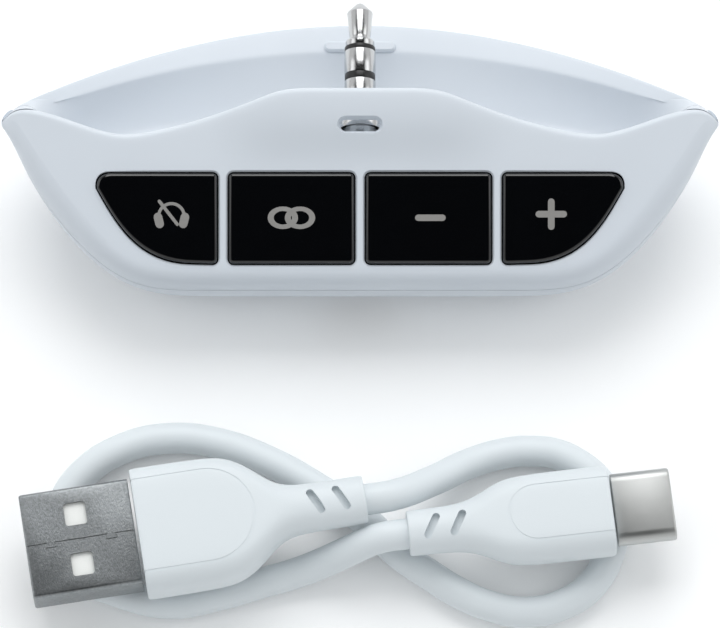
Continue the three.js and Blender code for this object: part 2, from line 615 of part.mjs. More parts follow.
function plug() {
  const dark = () => plastic(0x101010, 0.4);
  const up = (g) => g.translate(0, 0, PLUG_Z);
  const stack = PLUG_STACK.map(([name, y0, y1, kind]) =>
    mesh(name, up(rodY(PLUG_R, y0, y1)), kind === 'steel' ? steel() : dark()));
  const tipStart = PLUG_STACK.at(-1)[2];
  const tip = new THREE.LatheGeometry(TIP_PROFILE.map(([r, y]) => new THREE.Vector2(r, y)), 24)
    .translate(0, tipStart, 0);
  const seat = POCKET_WALL_Y;
  const collar = join(rodY(COLLAR_R, seat, seat + COLLAR_T), rodY(BARREL_R, seat - BOSS_BACK, seat));
  const baseFront = seat - BOSS_BACK - SEAT;
  const base = box(7.6, 3.2, 2.4, 0, baseFront - 1.6, -0.6);
  const ribbonStart = baseFront - 3.2 - 0.1;
  const boardEnd = facePoint(1.6, boardTop);
  const ribbon = new THREE.Shape([
    [ribbonStart, 12.4], [ribbonStart, 11], [ribbonStart - 0.4, 10.8], [boardEnd.x, boardEnd.y + 0.25],
    [boardEnd.x, boardEnd.y + 0.5], [ribbonStart - 0.5, 11.2], [ribbonStart - 0.25, 12.4],
  ].map(([y, z]) => new THREE.Vector2(y, z)));
  return [
    ...stack,
    mesh('plug_tip', up(tip), steel()),
    mesh('plug_collar', up(collar), steel()),
    mesh('plug_base', up(base), dark()),
    mesh('plug_ribbon', slab(ribbon, -1.5, 1.5).rotateX(Math.PI / 2).rotateZ(Math.PI / 2),
      plastic(0xb06a2c, 0.6)),
  ];
}

// ---- Assembly
function receiver() {
  const shells = buildShells();
  const face = new THREE.Group();
  face.rotation.x = FACE_TILT;
  face.position.set(0, ROW_Y, ROW_Z);
  face.add(
    ...KEYS.map((k) => mesh(`${k.name}_key`, keyCap(k), gloss())),
    ...KEYS.flatMap(switchParts),
    mesh('main_board', board(), plastic(0x14532d, 0.5)),
    ...chips(),
    ...socket(),
    boardScrew(-1),
    boardScrew(1),
  );
  const g = new THREE.Group();
  g.add(mesh('front_shell', shells.front, white()), mesh('rear_shell', shells.rear, white()),
    face, ...battery(), ...plug());
  return g;
}

// The middle of the receiver, without the lead, stands over the origin
const body = receiver();
const extent = new THREE.Box3().setFromObject(body);
const root = new THREE.Group();
root.position.y = -(extent.min.y + extent.max.y) / 2;
root.add(body, aPlug(), cPlug(), leadCord());
export default root;
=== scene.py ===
"""Clip-on wireless audio receiver with its charging lead: smooth mouldings, finishes, light and camera.

Sizes are in millimetres, measured from the face of the headset plug's collar, as in the part's source.
PLACE and ON_FACE carry them to the frame in metres.
"""
import math

import bmesh
import bpy
from mathutils import Matrix, Vector

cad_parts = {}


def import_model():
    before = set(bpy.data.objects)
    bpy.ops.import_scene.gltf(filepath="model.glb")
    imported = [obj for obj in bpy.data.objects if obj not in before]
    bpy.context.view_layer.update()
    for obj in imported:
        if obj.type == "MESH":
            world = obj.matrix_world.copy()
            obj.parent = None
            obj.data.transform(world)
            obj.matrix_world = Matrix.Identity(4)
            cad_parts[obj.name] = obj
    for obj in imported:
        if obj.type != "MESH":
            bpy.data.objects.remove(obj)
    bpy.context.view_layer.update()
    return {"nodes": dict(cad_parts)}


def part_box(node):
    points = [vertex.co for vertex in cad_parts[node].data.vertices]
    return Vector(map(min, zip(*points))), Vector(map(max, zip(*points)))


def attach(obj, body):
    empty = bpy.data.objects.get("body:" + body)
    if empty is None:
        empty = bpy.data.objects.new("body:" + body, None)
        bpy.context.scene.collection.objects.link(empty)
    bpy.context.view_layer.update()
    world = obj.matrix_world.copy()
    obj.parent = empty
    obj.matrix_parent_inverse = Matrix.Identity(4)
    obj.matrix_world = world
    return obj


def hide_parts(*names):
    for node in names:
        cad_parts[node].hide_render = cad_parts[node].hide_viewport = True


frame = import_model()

MM = 0.001
RECEIVER = "receiver"
COLLAR_FACE_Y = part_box("plug_collar")[1][1]
ROW_Y, ROW_Z = -12.4, 14.5
TILT = math.radians(18)
PLACE = Matrix.Translation((0, COLLAR_FACE_Y, 0)) @ Matrix.Scale(MM, 4)
ON_FACE = PLACE @ Matrix.Translation((0, ROW_Y, ROW_Z)) @ Matrix.Rotation(TILT, 4, "X")

# ---- Camera: square to the key face, far away, as a product picture is taken
LOOK_AT = PLACE @ Vector((0, -18.8, 0))
CAMERA_DISTANCE = 0.62
PICTURE_WIDTH = 0.0814
ELEVATION = math.radians(72)


def add_camera():
    data = bpy.data.cameras.new("camera")
    data.sensor_width = 36
    data.lens = data.sensor_width * CAMERA_DISTANCE / PICTURE_WIDTH
    data.clip_start, data.clip_end = 0.01, 20
    camera = bpy.data.objects.new("camera", data)
    bpy.context.scene.collection.objects.link(camera)
    away = Vector((0, -math.cos(ELEVATION), math.sin(ELEVATION)))
    camera.location = LOOK_AT + away * CAMERA_DISTANCE
    camera.rotation_euler = (math.pi / 2 - ELEVATION, 0, 0)
    bpy.context.scene.camera = camera


add_camera()


# ---- Materials
def srgb(r, g, b):
    """A colour given as 0-255 screen values, as linear light"""
    def linear(c):
        c /= 255
        return c / 12.92 if c <= 0.04045 else ((c + 0.055) / 1.055) ** 2.4
    return (linear(r), linear(g), linear(b), 1)


def shades(colour, amount):
    """The colour a little darker and a little lighter"""
    return [tuple(min(1, c * k) for c in colour[:3]) + (1,) for k in (1 - amount, 1 + amount)]


class Finish:
    """A Principled material with helpers for procedural detail in object coordinates"""

    def __init__(self, name, **values):
        self.material = bpy.data.materials.new(name)
        self.material.use_nodes = True
        self.nodes = self.material.node_tree.nodes
        self.links = self.material.node_tree.links
        self.shader = self.nodes["Principled BSDF"]
        self.place = self.nodes.new("ShaderNodeTexCoord").outputs["Object"]
        self.height = None
        for socket, value in values.items():
            self.shader.inputs[socket.replace("_", " ")].default_value = value

    def add(self, kind, *wired, **values):
        node = self.nodes.new(kind)
        for key, value in values.items():
            if key in node.inputs:
                node.inputs[key].default_value = value
            else:
                setattr(node, key, value)
        for source, socket in wired:
            self.links.new(source, node.inputs[socket])
        return node

    def noise(self, size, detail=3, stretch=(1, 1, 1)):
        """Noise whose grains are `size` metres across"""
        mapping = self.add("ShaderNodeMapping", (self.place, "Vector"), Scale=stretch)
        return self.add("ShaderNodeTexNoise", (mapping.outputs[0], "Vector"),
                        Scale=1 / size, Detail=detail).outputs["Fac"]

    def ramp(self, source, low, high, dark, light):
        node = self.add("ShaderNodeMapRange", (source, "Value"))
        for socket, value in zip(("From Min", "From Max", "To Min", "To Max"), (low, high, dark, light)):
            node.inputs[socket].default_value = value
        return node.outputs[0]

    def colour(self, source, dark, light):
        node = self.add("ShaderNodeMix", (source, "Factor"), data_type="RGBA")
        for socket in node.inputs:
            if socket.type == "RGBA" and socket.name in "AB":
                socket.default_value = dark if socket.name == "A" else light
        self.links.new(node.outputs[2], self.shader.inputs["Base Color"])
        return self

    def roughness(self, source, low, high):
        self.links.new(self.ramp(source, 0.3, 0.7, low, high), self.shader.inputs["Roughness"])
        return self

    def bump(self, source, depth, strength=1.0):
        bump = self.add("ShaderNodeBump", (source, "Height"), Distance=depth, Strength=strength)
        if self.height:
            self.links.new(self.height, bump.inputs["Normal"])
        self.height = bump.outputs[0]
        self.links.new(self.height, self.shader.inputs["Normal"])
        return self


def moulded(name, colour, roughness=(0.34, 0.46), grain=0.00006, depth=0.000004, tint=0.012, **values):
    """Moulded plastic: very fine grain, slow colour drift, uneven sheen"""
    f = Finish(name, **values)
    return (f.colour(f.noise(0.012), *shades(colour, tint))
            .roughness(f.noise(0.004), *roughness)
            .bump(f.noise(grain, 2), depth).bump(f.noise(0.006, 1), depth * 3).material)


def plated(name, colour, roughness=(0.14, 0.26), stretch=(1, 1, 1), grain=0.0002, depth=0.000003, tint=0.06,
           speckle=0.006):
    """Plated metal with fine drawn lines and faint smudges"""
    f = Finish(name, Metallic=1.0)
    return (f.colour(f.noise(speckle, 2), *shades(colour, tint))
            .roughness(f.noise(0.005, 1), *roughness)
            .bump(f.noise(grain, 4, stretch), depth).material)


def polished_key():
    f = Finish("polished_black", Coat_Weight=0.6, Coat_Roughness=0.04, IOR=1.46)
    return (f.colour(f.noise(0.01), *shades(srgb(3, 4, 6), 0.2))
            .roughness(f.noise(0.002, 4), 0.07, 0.12)
            .bump(f.noise(0.009, 1), 0.000006).material)


def printed(name, colour):
    """Printed sign: slightly speckled ink"""
    f = Finish(name)
    return (f.colour(f.noise(0.0003, 4), *shades(colour, 0.05))
            .roughness(f.noise(0.0008), 0.45, 0.6).bump(f.noise(0.00012), 0.000004).material)


def circuit_board():
    f = Finish("board_green")
    tracks = f.add("ShaderNodeTexBrick", (f.place, "Vector"), Scale=420.0, offset=0.37)
    tracks.inputs["Color1"].default_value = srgb(22, 92, 60)
    tracks.inputs["Color2"].default_value = srgb(28, 108, 70)
    tracks.inputs["Mortar"].default_value = srgb(60, 140, 96)
    f.links.new(tracks.outputs["Color"], f.shader.inputs["Base Color"])
    return f.roughness(f.noise(0.002), 0.3, 0.45).bump(tracks.outputs["Fac"], 0.00002).material


SHELL_WHITE = srgb(206, 212, 219)
GRIP_WHITE = srgb(214, 220, 223)
white_shell = moulded("white_moulding", SHELL_WHITE, Specular_IOR_Level=0.4)
white_grip = moulded("white_grip", GRIP_WHITE, (0.42, 0.56), grain=0.00012, depth=0.000008,
                     Specular_IOR_Level=0.35)
cord_jacket = moulded("cord_jacket", srgb(215, 221, 224), (0.4, 0.52), grain=0.0003, depth=0.000008,
                      Specular_IOR_Level=0.35)
black_gloss = polished_key()
sign_grey = printed("sign_grey", srgb(136, 134, 131))
black_moulding = moulded("black_moulding", srgb(20, 20, 22), (0.3, 0.42))
turned_nickel = plated("turned_nickel", srgb(196, 197, 198), (0.1, 0.18), (1, 60, 1))
drawn_nickel = plated("drawn_nickel", srgb(140, 144, 146), (0.3, 0.38), (3, 1, 1), 0.00022, 0.00003, 0.4,
                      speckle=0.0003)
satin_nickel = plated("satin_nickel", srgb(188, 190, 189), (0.38, 0.44), (1, 8, 1), 0.0002, 0.000004, 0.03)
white_insulator = moulded("white_insulator", srgb(232, 233, 230), (0.4, 0.5))
epoxy = moulded("chip_epoxy", srgb(34, 35, 37), (0.5, 0.65), grain=0.0001, depth=0.00001)
tinned = plated("tinned_steel", srgb(196, 198, 200), (0.25, 0.4))
foil = plated("cell_foil", srgb(182, 185, 190), (0.4, 0.55), grain=0.0008, depth=0.00004)
foam = moulded("foam_tape", srgb(60, 60, 62), (0.85, 0.95), grain=0.0003, depth=0.00006)
film = moulded("flex_film", srgb(176, 106, 44), (0.3, 0.4), tint=0.08)
ceramic = moulded("glazed_ceramic", srgb(226, 220, 200), (0.2, 0.3))
led_resin = moulded("led_resin", srgb(240, 238, 214), (0.1, 0.2))
red_jacket = moulded("red_jacket", srgb(176, 32, 32), (0.45, 0.6))
black_jacket = moulded("black_jacket", srgb(24, 24, 26), (0.45, 0.6))

CAD_FINISHES = {
    circuit_board(): ["main_board"],
    epoxy: ["radio_chip", "audio_chip", "power_chip"],
    tinned: ["shield_can", "crystal", "board_screw_left", "board_screw_right", "socket_shell",
             "mute_switch", "pair_switch", "minus_switch", "plus_switch"],
    black_moulding: ["socket_tongue", "plug_base", "mute_plunger", "pair_plunger", "minus_plunger",
                     "plus_plunger"],
    ceramic: ["antenna"], led_resin: ["status_led"], foil: ["battery_cell"], foam: ["battery_pad"],
    red_jacket: ["battery_lead_plus"], black_jacket: ["battery_lead_minus"], film: ["plug_ribbon"],
    white_insulator: ["a_plug_tongue"],
}


def finish_cad_nodes():
    for material, names in CAD_FINISHES.items():
        for name in names:
            for slot in frame["nodes"][name].material_slots:
                slot.material = material


# ---- Mesh helpers
def arc(cx, cy, r, start, end, steps=6):
    angles = [math.radians(start + (end - start) * i / steps) for i in range(steps + 1)]
    return [(cx + r * math.cos(a), cy + r * math.sin(a)) for a in angles]


def pill(length, width, steps=10):
    r, half = width / 2, length / 2 - width / 2
    return arc(half, 0, r, -90, 90, steps) + arc(-half, 0, r, 90, 270, steps)


def bezier(a, b, c, d, steps):
    """Points on a cubic curve, after its first"""
    return [tuple((1 - t) ** 3 * p + 3 * (1 - t) ** 2 * t * q + 3 * (1 - t) * t * t * r + t ** 3 * s
                  for p, q, r, s in zip(a, b, c, d))
            for t in ((i + 1) / steps for i in range(steps))]


def lerp(a, b, t):
    return a + (b - a) * t


def mix(p, q, t):
    return (lerp(p[0], q[0], t), lerp(p[1], q[1], t))


def smooth(x, low, high):
    t = min(1, max(0, (x - low) / (high - low)))
    return t * t * (3 - 2 * t)


def tube(rings, poles=False):
    """A closed skin through rings of points, with both ends filled"""
    around, along = len(rings[0]), len(rings)
    bm = bmesh.new()
    bmesh.ops.create_grid(bm, x_segments=around, y_segments=along - 1, size=0.5)
    for v in bm.verts:
        i, j = round((v.co.x + 0.5) * around), round((v.co.y + 0.5) * (along - 1))
        v.co = rings[j][i % around]
    bmesh.ops.remove_doubles(bm, verts=bm.verts, dist=1e-4)
    ends = bmesh.ops.edgeloop_fill(bm, edges=[e for e in bm.edges if e.is_boundary])["faces"]
    if poles:
        bmesh.ops.poke(bm, faces=ends)
    bmesh.ops.recalc_face_normals(bm, faces=bm.faces)
    return bm


def prism(outline, levels):
    """Rings of one outline at heights; each level is (height, outline for that height)"""
    return tube([[(x, y, z) for x, y in outline(grow)] for z, grow in levels])


def to_object(bm, name, matrix=PLACE):
    bm.transform(matrix)
    mesh = bpy.data.meshes.new(name)
    bm.to_mesh(mesh)
    bm.free()
    obj = bpy.data.objects.new(name, mesh)
    bpy.context.scene.collection.objects.link(obj)
    return obj


def bake(obj):
    """Puts the modifiers' result in the mesh"""
    depsgraph = bpy.context.evaluated_depsgraph_get()
    mesh = bpy.data.meshes.new_from_object(obj.evaluated_get(depsgraph))
    obj.modifiers.clear()
    obj.data = mesh


def subdivide(obj, levels=2):
    modifier = obj.modifiers.new("subdivide", "SUBSURF")
    modifier.levels = modifier.render_levels = levels
    bake(obj)


def carve(obj, *tools, operation="DIFFERENCE", keep=False):
    for tool in tools:
        modifier = obj.modifiers.new("carve", "BOOLEAN")
        modifier.operation, modifier.object, modifier.solver = operation, tool, "MANIFOLD"
    bake(obj)
    if not keep:
        for tool in tools:
            bpy.data.objects.remove(tool)


def piece(obj, material, body=RECEIVER, replaced=(), sharp=32):
    """Finishes a piece: material, shading, the body that it rides on, the CAD nodes it stands for"""
    obj.data.materials.clear()
    obj.data.materials.append(material)
    obj.data.shade_smooth()
    obj.data.set_sharp_from_angle(angle=math.radians(sharp))
    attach(obj, body)
    if replaced:
        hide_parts(*replaced)
    return obj


# ---- The charging lead's cord, from the A plug's relief to the C plug's
CORD_RADIUS = 1.75
FLOOR_Z = CORD_RADIUS + 0.02
CORD_ROUTE = [
    (0.2, -42.86, 7.6), (3.6, -42.2, 7.2), (8.4, -39.5, 4.2), (12.4, -37.0, 2.2), (16.4, -35.7, FLOOR_Z),
    (19.1, -35.5, FLOOR_Z), (21.8, -35.8, FLOOR_Z), (24.5, -37.1, FLOOR_Z), (26.6, -39.0, FLOOR_Z),
    (28.5, -42.6, FLOOR_Z), (27.9, -46.6, FLOOR_Z), (26.1, -50.5, FLOOR_Z), (23.1, -52.9, FLOOR_Z),
    (18.6, -54.1, FLOOR_Z), (14.4, -53.4, FLOOR_Z), (10.8, -51.8, FLOOR_Z), (8.0, -50.0, FLOOR_Z),
    (4.1, -47.2, FLOOR_Z), (0.9, -43.9, FLOOR_Z), (-5.1, -39.6, FLOOR_Z), (-10.4, -36.6, FLOOR_Z),
    (-15.8, -34.6, FLOOR_Z), (-21.2, -34.0, FLOOR_Z), (-26.5, -35.2, FLOOR_Z), (-31.3, -38.6, FLOOR_Z),
    (-33.4, -42.6, FLOOR_Z), (-33.9, -46.0, FLOOR_Z), (-31.4, -49.8, FLOOR_Z), (-27.9, -51.4, FLOOR_Z),
    (-21.2, -53.1, FLOOR_Z), (-15.8, -52.2, FLOOR_Z), (-10.4, -50.6, FLOOR_Z), (-7.4, -49.75, 1.85),
    (-4.4, -48.85, 2.8), (-1.4, -47.95, 4.6), (2.0, -46.95, 6.5), (5.6, -46.46, 6.8),
]
JACKET_SLACK = 0.02


def lead_cord():
    curve = bpy.data.curves.new("lead_cord_jacket", "CURVE")
    curve.dimensions = "3D"
    curve.bevel_depth = (CORD_RADIUS - JACKET_SLACK) * MM
    curve.bevel_resolution = 8
    curve.resolution_u = 8
    curve.use_fill_caps = True
    spline = curve.splines.new("BEZIER")
    spline.bezier_points.add(len(CORD_ROUTE) - 1)
    for point, place in zip(spline.bezier_points, CORD_ROUTE):
        point.co = PLACE @ Vector(place)
        point.handle_left_type = point.handle_right_type = "AUTO"
    obj = bpy.data.objects.new("lead_cord_jacket", curve)
    bpy.context.scene.collection.objects.link(obj)
    curve.materials.append(cord_jacket)
    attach(obj, RECEIVER)
    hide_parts("lead_cord")
    return obj


# ---- The receiver's hull, by sections square to X
HALF_WIDTH = 40
POCKET_HALF = 38.2


def face_point(v, w):
    return (ROW_Y + v * math.cos(TILT) - w * math.sin(TILT), ROW_Z + v * math.sin(TILT) + w * math.cos(TILT))


def chin_v(x):
    return -7.2 + 17.9 * (max(0, abs(x) - 18.8) / 21.2) ** 2.6


def rim_v(x):
    t = min(1, max(0, (abs(x) - 8.5) / 18))
    return 14.5 - 5.2 * (1 - (1 - t) ** 1.5) + 3 * smooth(abs(x), 25.5, 38)


def face_fall(x):
    return -2 * (abs(x) / HALF_WIDTH) ** 8


def face_w(x, v):
    return face_fall(x) + 1.6 * smooth(v, 5.63, 12) * (1 - smooth(abs(x), 8.5, 17.5))


def lift(x):
    return 12 * (max(0, abs(x) - 10) / 30) ** 3


def lip_point(x):
    z = 4 + 11.5 * (abs(x) / HALF_WIDTH) ** 3
    v = 22.57 - 0.0066 * x * x
    return (ROW_Y + (v - math.sin(TILT) * (z - ROW_Z)) / math.cos(TILT), z)


def wall_y(x, z):
    return -1.2 + (12 - z) * 0.45 - 0.0022 * x * x


def wall_at(x, w, inset=0):
    y0 = wall_y(x, 0) - inset
    s, c = math.sin(TILT), math.cos(TILT)
    z = (w + ROW_Z * c + (y0 - ROW_Y) * s) / (c + 0.45 * s)
    return (y0 - 0.45 * z, z)


def v_of(p):
    return (p[0] - ROW_Y) * math.cos(TILT) + (p[1] - ROW_Z) * math.sin(TILT)


def chin_roll(x):
    """How far the rounding of the front edge reaches up the face; wide towards the tips"""
    return min(1.2 + 2.8 * smooth(abs(x), 24, 35), rim_v(x) - chin_v(x) - 0.8)


def chin_curve(x, inset, steps):
    """The belly's foot, then points up the chin to the key face"""
    drop = inset * 1.6 / 1.7
    v = chin_v(x) + chin_roll(x) + inset * 0.35
    top = face_point(v, face_w(x, v) - drop)
    outer = face_point(chin_v(x) + 1.2, face_w(x, chin_v(x)))
    foot = (outer[0] + 6.1, lift(x) + inset)
    along = face_point(v - chin_roll(x) - 1.4 + inset * 0.6, face_w(x, v) - drop)
    return [foot] + bezier(foot, (foot[0] - 7.5 + inset * 1.15, foot[1]), along, top, steps)


ROOF = 1.7
RIM_SOFT = 0.45
TIP_V, TIP_ROUND = 10.4, 3.0


def hull_ring(x):
    """One section of the hull with its pocket, as a closed ring that starts under the back lip"""
    lip = lip_point(x)
    chin = chin_curve(x, 0, 7)
    foot = chin[0]
    flat_end = (lerp(foot[0], lip[0], 0.6), foot[1])
    edge = (lip[0] - 0.15, max(lip[1] - 1.9, foot[1] + 0.3))
    rise = bezier(flat_end, mix(flat_end, (lerp(foot[0], lip[0], 0.85), foot[1]), 0.67),
                  mix(edge, (lerp(foot[0], lip[0], 0.85), foot[1]), 0.67), edge, 4)
    v0 = chin_v(x) + chin_roll(x)
    v1 = max(rim_v(x), v0 + 0.6)
    face = [face_point(v, face_w(x, v)) for v in (lerp(v0, v1 - RIM_SOFT, s) for s in
                                                  (0.08, 0.25, 0.4, 0.52, 0.62, 0.72, 0.82, 0.92, 1))]
    outside = rise[::-1] + [flat_end, mix(flat_end, foot, 0.5)] + chin + face

    close = smooth(abs(x), POCKET_HALF - 7, POCKET_HALF - 1)
    bottom = min(lift(x) + 2.9, lip[1] - 0.2)
    heel = (wall_y(x, bottom), bottom)
    roof_w = face_w(x, v1) - ROOF
    wall_top = wall_at(x, face_w(x, 8) - ROOF)
    v2 = min(v_of(wall_top), v1 - 0.3)
    crease = (lerp(heel[0], lip[0], 0.71), lip[1] + 0.25)
    dip = 0.7 * (1 - smooth(abs(x), 3.5, 7))
    rim = [face_point(v1, face_w(x, v1) - 0.25), face_point(v1, roof_w + 0.25)]
    roof = [face_point(lerp(v1 - RIM_SOFT, v2 + 0.5, s), face_w(x, lerp(v1, v2, s)) - ROOF) for s in (0, 0.5, 1)]
    wall = [mix(wall_top, heel, s) for s in (0.06, 0.35, 0.65, 0.92)]
    floor = []
    for s in (0.06, 0.25, 0.45, 0.65, 0.82, 0.95):
        y = lerp(heel[0], crease[0], s)
        z = lerp(heel[1], crease[1], s * s) - dip * math.sin(math.pi * min(1, s * 0.9 + 0.1))
        floor.append((y, z))
    lip_in = [crease, mix(crease, lip, 0.2), mix(crease, lip, 0.85), (lip[0] + 0.05, lip[1] - 0.12)]
    inside = roof + wall + floor
    first, last = rim[0], lip
    lid = [mix(first, last, (i + 1) / (len(inside) + 1)) for i in range(len(inside))]
    inside = [mix(p, q, close) for p, q in zip(inside, lid)]
    ring = outside + rim + inside + lip_in

    k = min(0.985, max(0, (abs(x) - (HALF_WIDTH - TIP_ROUND)) / TIP_ROUND))
    centre = face_point(TIP_V, face_w(x, TIP_V) - 1.6)
    shrink = 1 - math.sqrt(1 - k * k)
    return [(x, *mix(p, centre, shrink)) for p in ring]


def cavity_ring(x):
    chin = chin_curve(x, 1.7, 5)
    back = wall_at(x, face_w(x, 0) - 1.6, 1.785)
    heel = (wall_y(x, chin[0][1]) - 1.785, chin[0][1])
    return [(x, *p) for p in [heel, mix(heel, chin[0], 0.5)] + chin + [mix(chin[-1], back, 0.5), back]]


def seam_ring(x):
    w = -2.4 + face_fall(x)
    corners = [face_point(v, w + side) for v, side in
               ((-30, -SEAM_HALF), (45, -SEAM_HALF), (45, SEAM_HALF), (-30, SEAM_HALF))]
    return [(x, *p) for p in corners]


SEAM_HALF = 0.07
STATIONS = [0.5 * (a + math.sin(a * math.pi / 2)) for a in (i / 22 for i in range(-22, 23))]


def inner_key(side, grow):
    u0, u1, v0, v1 = 0.65 - grow, 14.55 + grow, -4.98 - grow, 5.03 + grow
    r = 0.5 + grow
    points = (arc(u1 - r, v0 + r, r, -90, 0) + arc(u1 - r, v1 - r, r, 0, 90)
              + arc(u0 + r, v1 - r, r, 90, 180) + arc(u0 + r, v0 + r, r, 180, 270))
    return [(side * u, v) for u, v in points]


def outer_key(side, grow):
    """The end keys sweep up with the front outline"""
    u0, u1, v0, v1 = 15.85 - grow, 29.2 + grow, -4.98 - grow, 5.03 + grow
    r = 0.5 + grow
    start, end = (u1 - 10.68, v0 + 0.06), (u1, v1 - 1.63 - grow)
    points = [start] + bezier(start, (u1 - 4.49, v0 + 0.1), (u1 - 2.14, v1 - 5.4 - grow), end, 16)
    points += bezier(end, (u1 + 0.07, v1 - 0.67), (u1 - 0.37, v1 - 0.13), (u1 - 1.3, v1), 6)
    points += arc(u0 + r, v1 - r, r, 90, 180) + arc(u0 + r, v0 + r, r, 180, 270)
    return [(side * u, v) for u, v in points]


KEYS = {"mute": (outer_key, -1), "pair": (inner_key, -1), "minus": (inner_key, 1), "plus": (outer_key, 1)}
KEY_FIT = 0.16
FACE_CHAMFER = 0.2


def window_cutter(name):
    outline, side = KEYS[name]
    levels = [(-6, KEY_FIT), (-FACE_CHAMFER, KEY_FIT), (0.02, KEY_FIT + FACE_CHAMFER), (4, KEY_FIT + FACE_CHAMFER)]
    return to_object(prism(lambda grow: outline(side, grow), levels), "window_cutter", ON_FACE)


def slot_cutter():
    """The pill slot in the hood, wider at its mouth"""
    w = face_w(0, 10.33)
    levels = [(-6, 0), (w - 0.75, 0), (w + 0.05, 0.4), (w + 4, 0.4)]
    bm = prism(lambda grow: [(u, v + 10.33) for u, v in pill(4.4 + 2 * grow, 1.3 + 2 * grow)], levels)
    return to_object(bm, "slot_cutter", ON_FACE)


def socket_cutter():
    w = -8.13
    bm = prism(lambda grow: pill(9.3 + 2 * grow, 3.6 + 2 * grow), [(5, 0), (8.6, 0), (9.6, 0.5), (14, 0.5)])
    bm.transform(Matrix.Translation((0, 0, w)) @ Matrix.Rotation(math.radians(90), 4, "X"))
    return to_object(bm, "socket_cutter", ON_FACE)


def rod_cutter(radius, y0, y1):
    bm = prism(lambda grow: arc(0, 0, radius, 0, 360, 48)[:-1], [(-y1, 0), (-y0, 0)])
    bm.transform(Matrix.Translation((0, 0, 12)) @ Matrix.Rotation(math.radians(90), 4, "X"))
    return to_object(bm, "rod_cutter")


def lip_rib():
    """Short raised rib on the back lip"""
    lip = lip_point(0)
    bm = prism(lambda grow: pill(8.2 + 2 * grow, 1.3 + 2 * grow), [(0, 0), (1.15, 0), (1.4, -0.25)])
    bm.transform(Matrix.Translation((0, lip[0] - 2.9, lip[1] - 0.75)))
    return to_object(bm, "lip_rib")


def split_loose(obj):
    """The two largest pieces of a mesh that aren't joined, higher one first"""
    bm = bmesh.new()
    bm.from_mesh(obj.data)
    bmesh.ops.remove_doubles(bm, verts=bm.verts, dist=1e-7)
    left, parts = set(bm.faces), []
    while left:
        island, edge = set(), [left.pop()]
        while edge:
            face = edge.pop()
            island.add(face)
            for near in {f for e in face.edges for f in e.link_faces} & left:
                left.discard(near)
                edge.append(near)
        parts.append(island)
    parts.sort(key=lambda island: -len(island))
    results = []
    for island in parts[:2]:
        part = bm.copy()
        part.faces.ensure_lookup_table()
        keep = {f.index for f in island}
        bmesh.ops.delete(part, geom=[f for f in part.faces if f.index not in keep], context="FACES")
        results.append(part)
    bm.free()
    return sorted(results, key=lambda b: -sum(v.co.z for v in b.verts) / len(b.verts))


def build_shells():
    hull = to_object(tube([hull_ring(HALF_WIDTH * a) for a in STATIONS], poles=True), "hull")
    subdivide(hull, 2)
    cavity = to_object(tube([cavity_ring(31.5 * a) for a in STATIONS[::2]]), "cavity")
    boss = rod_cutter(3.3, -3.8, -1.2)
    carve(hull, cavity)
    carve(hull, boss, lip_rib(), operation="UNION")
    carve(hull, *[window_cutter(name) for name in KEYS], slot_cutter(), socket_cutter(),
          rod_cutter(3.3, -1.2, 4), rod_cutter(2.4, -5, 0))
    carve(hull, to_object(tube([seam_ring(48 * a) for a in STATIONS]), "seam"))
    front, rear = split_loose(hull)
    bpy.data.objects.remove(hull)
    for bm, name in ((front, "front_shell"), (rear, "rear_shell")):
        shell = to_object(bm, name + "_moulding", Matrix.Identity(4))
        piece(shell, white_shell, replaced=[name], sharp=38)


# ---- Keys and their signs
KEY_TOP, KEY_UNDER = 0.35, -2.6


def key_cap(name):
    outline, side = KEYS[name]
    soft = 0.38
    rise = [(math.sin(math.radians(a)) * soft, math.cos(math.radians(a)) * soft) for a in (0, 22, 45, 68, 90)]
    levels = [(KEY_UNDER, 0.55), (-1.95, 0.55), (-1.9, 0)] + [(KEY_TOP - soft + z, y - soft) for z, y in rise]
    cap = to_object(prism(lambda grow: outline(side, grow), levels), name + "_key_cap", ON_FACE)
    return piece(cap, black_gloss, name + "_button", [name + "_key"], sharp=50)


def sign_bar(length, width, centre, angle=0):
    """A round-ended stroke of a printed sign"""
    bm = prism(lambda grow: pill(length, width, 6), [(SIGN_LOW, 0), (SIGN_HIGH, 0)])
    bm.transform(Matrix.Translation((*centre, 0)) @ Matrix.Rotation(math.radians(angle), 4, "Z"))
    return bm


SIGN_LOW, SIGN_HIGH = KEY_TOP - 0.01, KEY_TOP + 0.02


def sign_arc(radius, width, start, end, centre, wide=1.0):
    inner, outer = radius - width / 2, radius + width / 2
    band = arc(0, 0, outer, start, end, 28) + arc(0, 0, inner, end, start, 28)
    bm = prism(lambda grow: [(x * wide, y) for x, y in band], [(SIGN_LOW, 0), (SIGN_HIGH, 0)])
    bm.transform(Matrix.Translation((*centre, 0)))
    return bm


def sign(name, key, *strokes):
    joined = to_object(strokes[0], name, ON_FACE)
    for stroke in strokes[1:]:
        carve(joined, to_object(stroke, "stroke", ON_FACE), operation="UNION")
    piece(joined, sign_grey, key + "_button")


def key_signs():
    u, v = -20.9, 0.6
    sign("mute_sign", "mute",
         sign_arc(1.42, 0.34, 12, 168, (u, v - 0.35), 1.0),
         sign_bar(1.75, 0.95, (u - 1.4, v - 0.8), 104),
         sign_bar(1.75, 0.95, (u + 1.4, v - 0.8), 76),
         sign_bar(3.6, 0.36, (u - 0.35, v + 0.05), -52))
    sign("pair_sign", "pair",
         sign_arc(1.0, 0.5, 0, 359.9, (-8.55, 0.1), 1.35), sign_arc(1.0, 0.5, 0, 359.9, (-6.65, 0.1), 1.35))
    sign("minus_sign", "minus", sign_bar(3.4, 0.72, (7.8, 0.1)))
    sign("plus_sign", "plus", sign_bar(3.5, 0.74, (21.2, 0.5)), sign_bar(3.5, 0.74, (21.2, 0.5), 90))


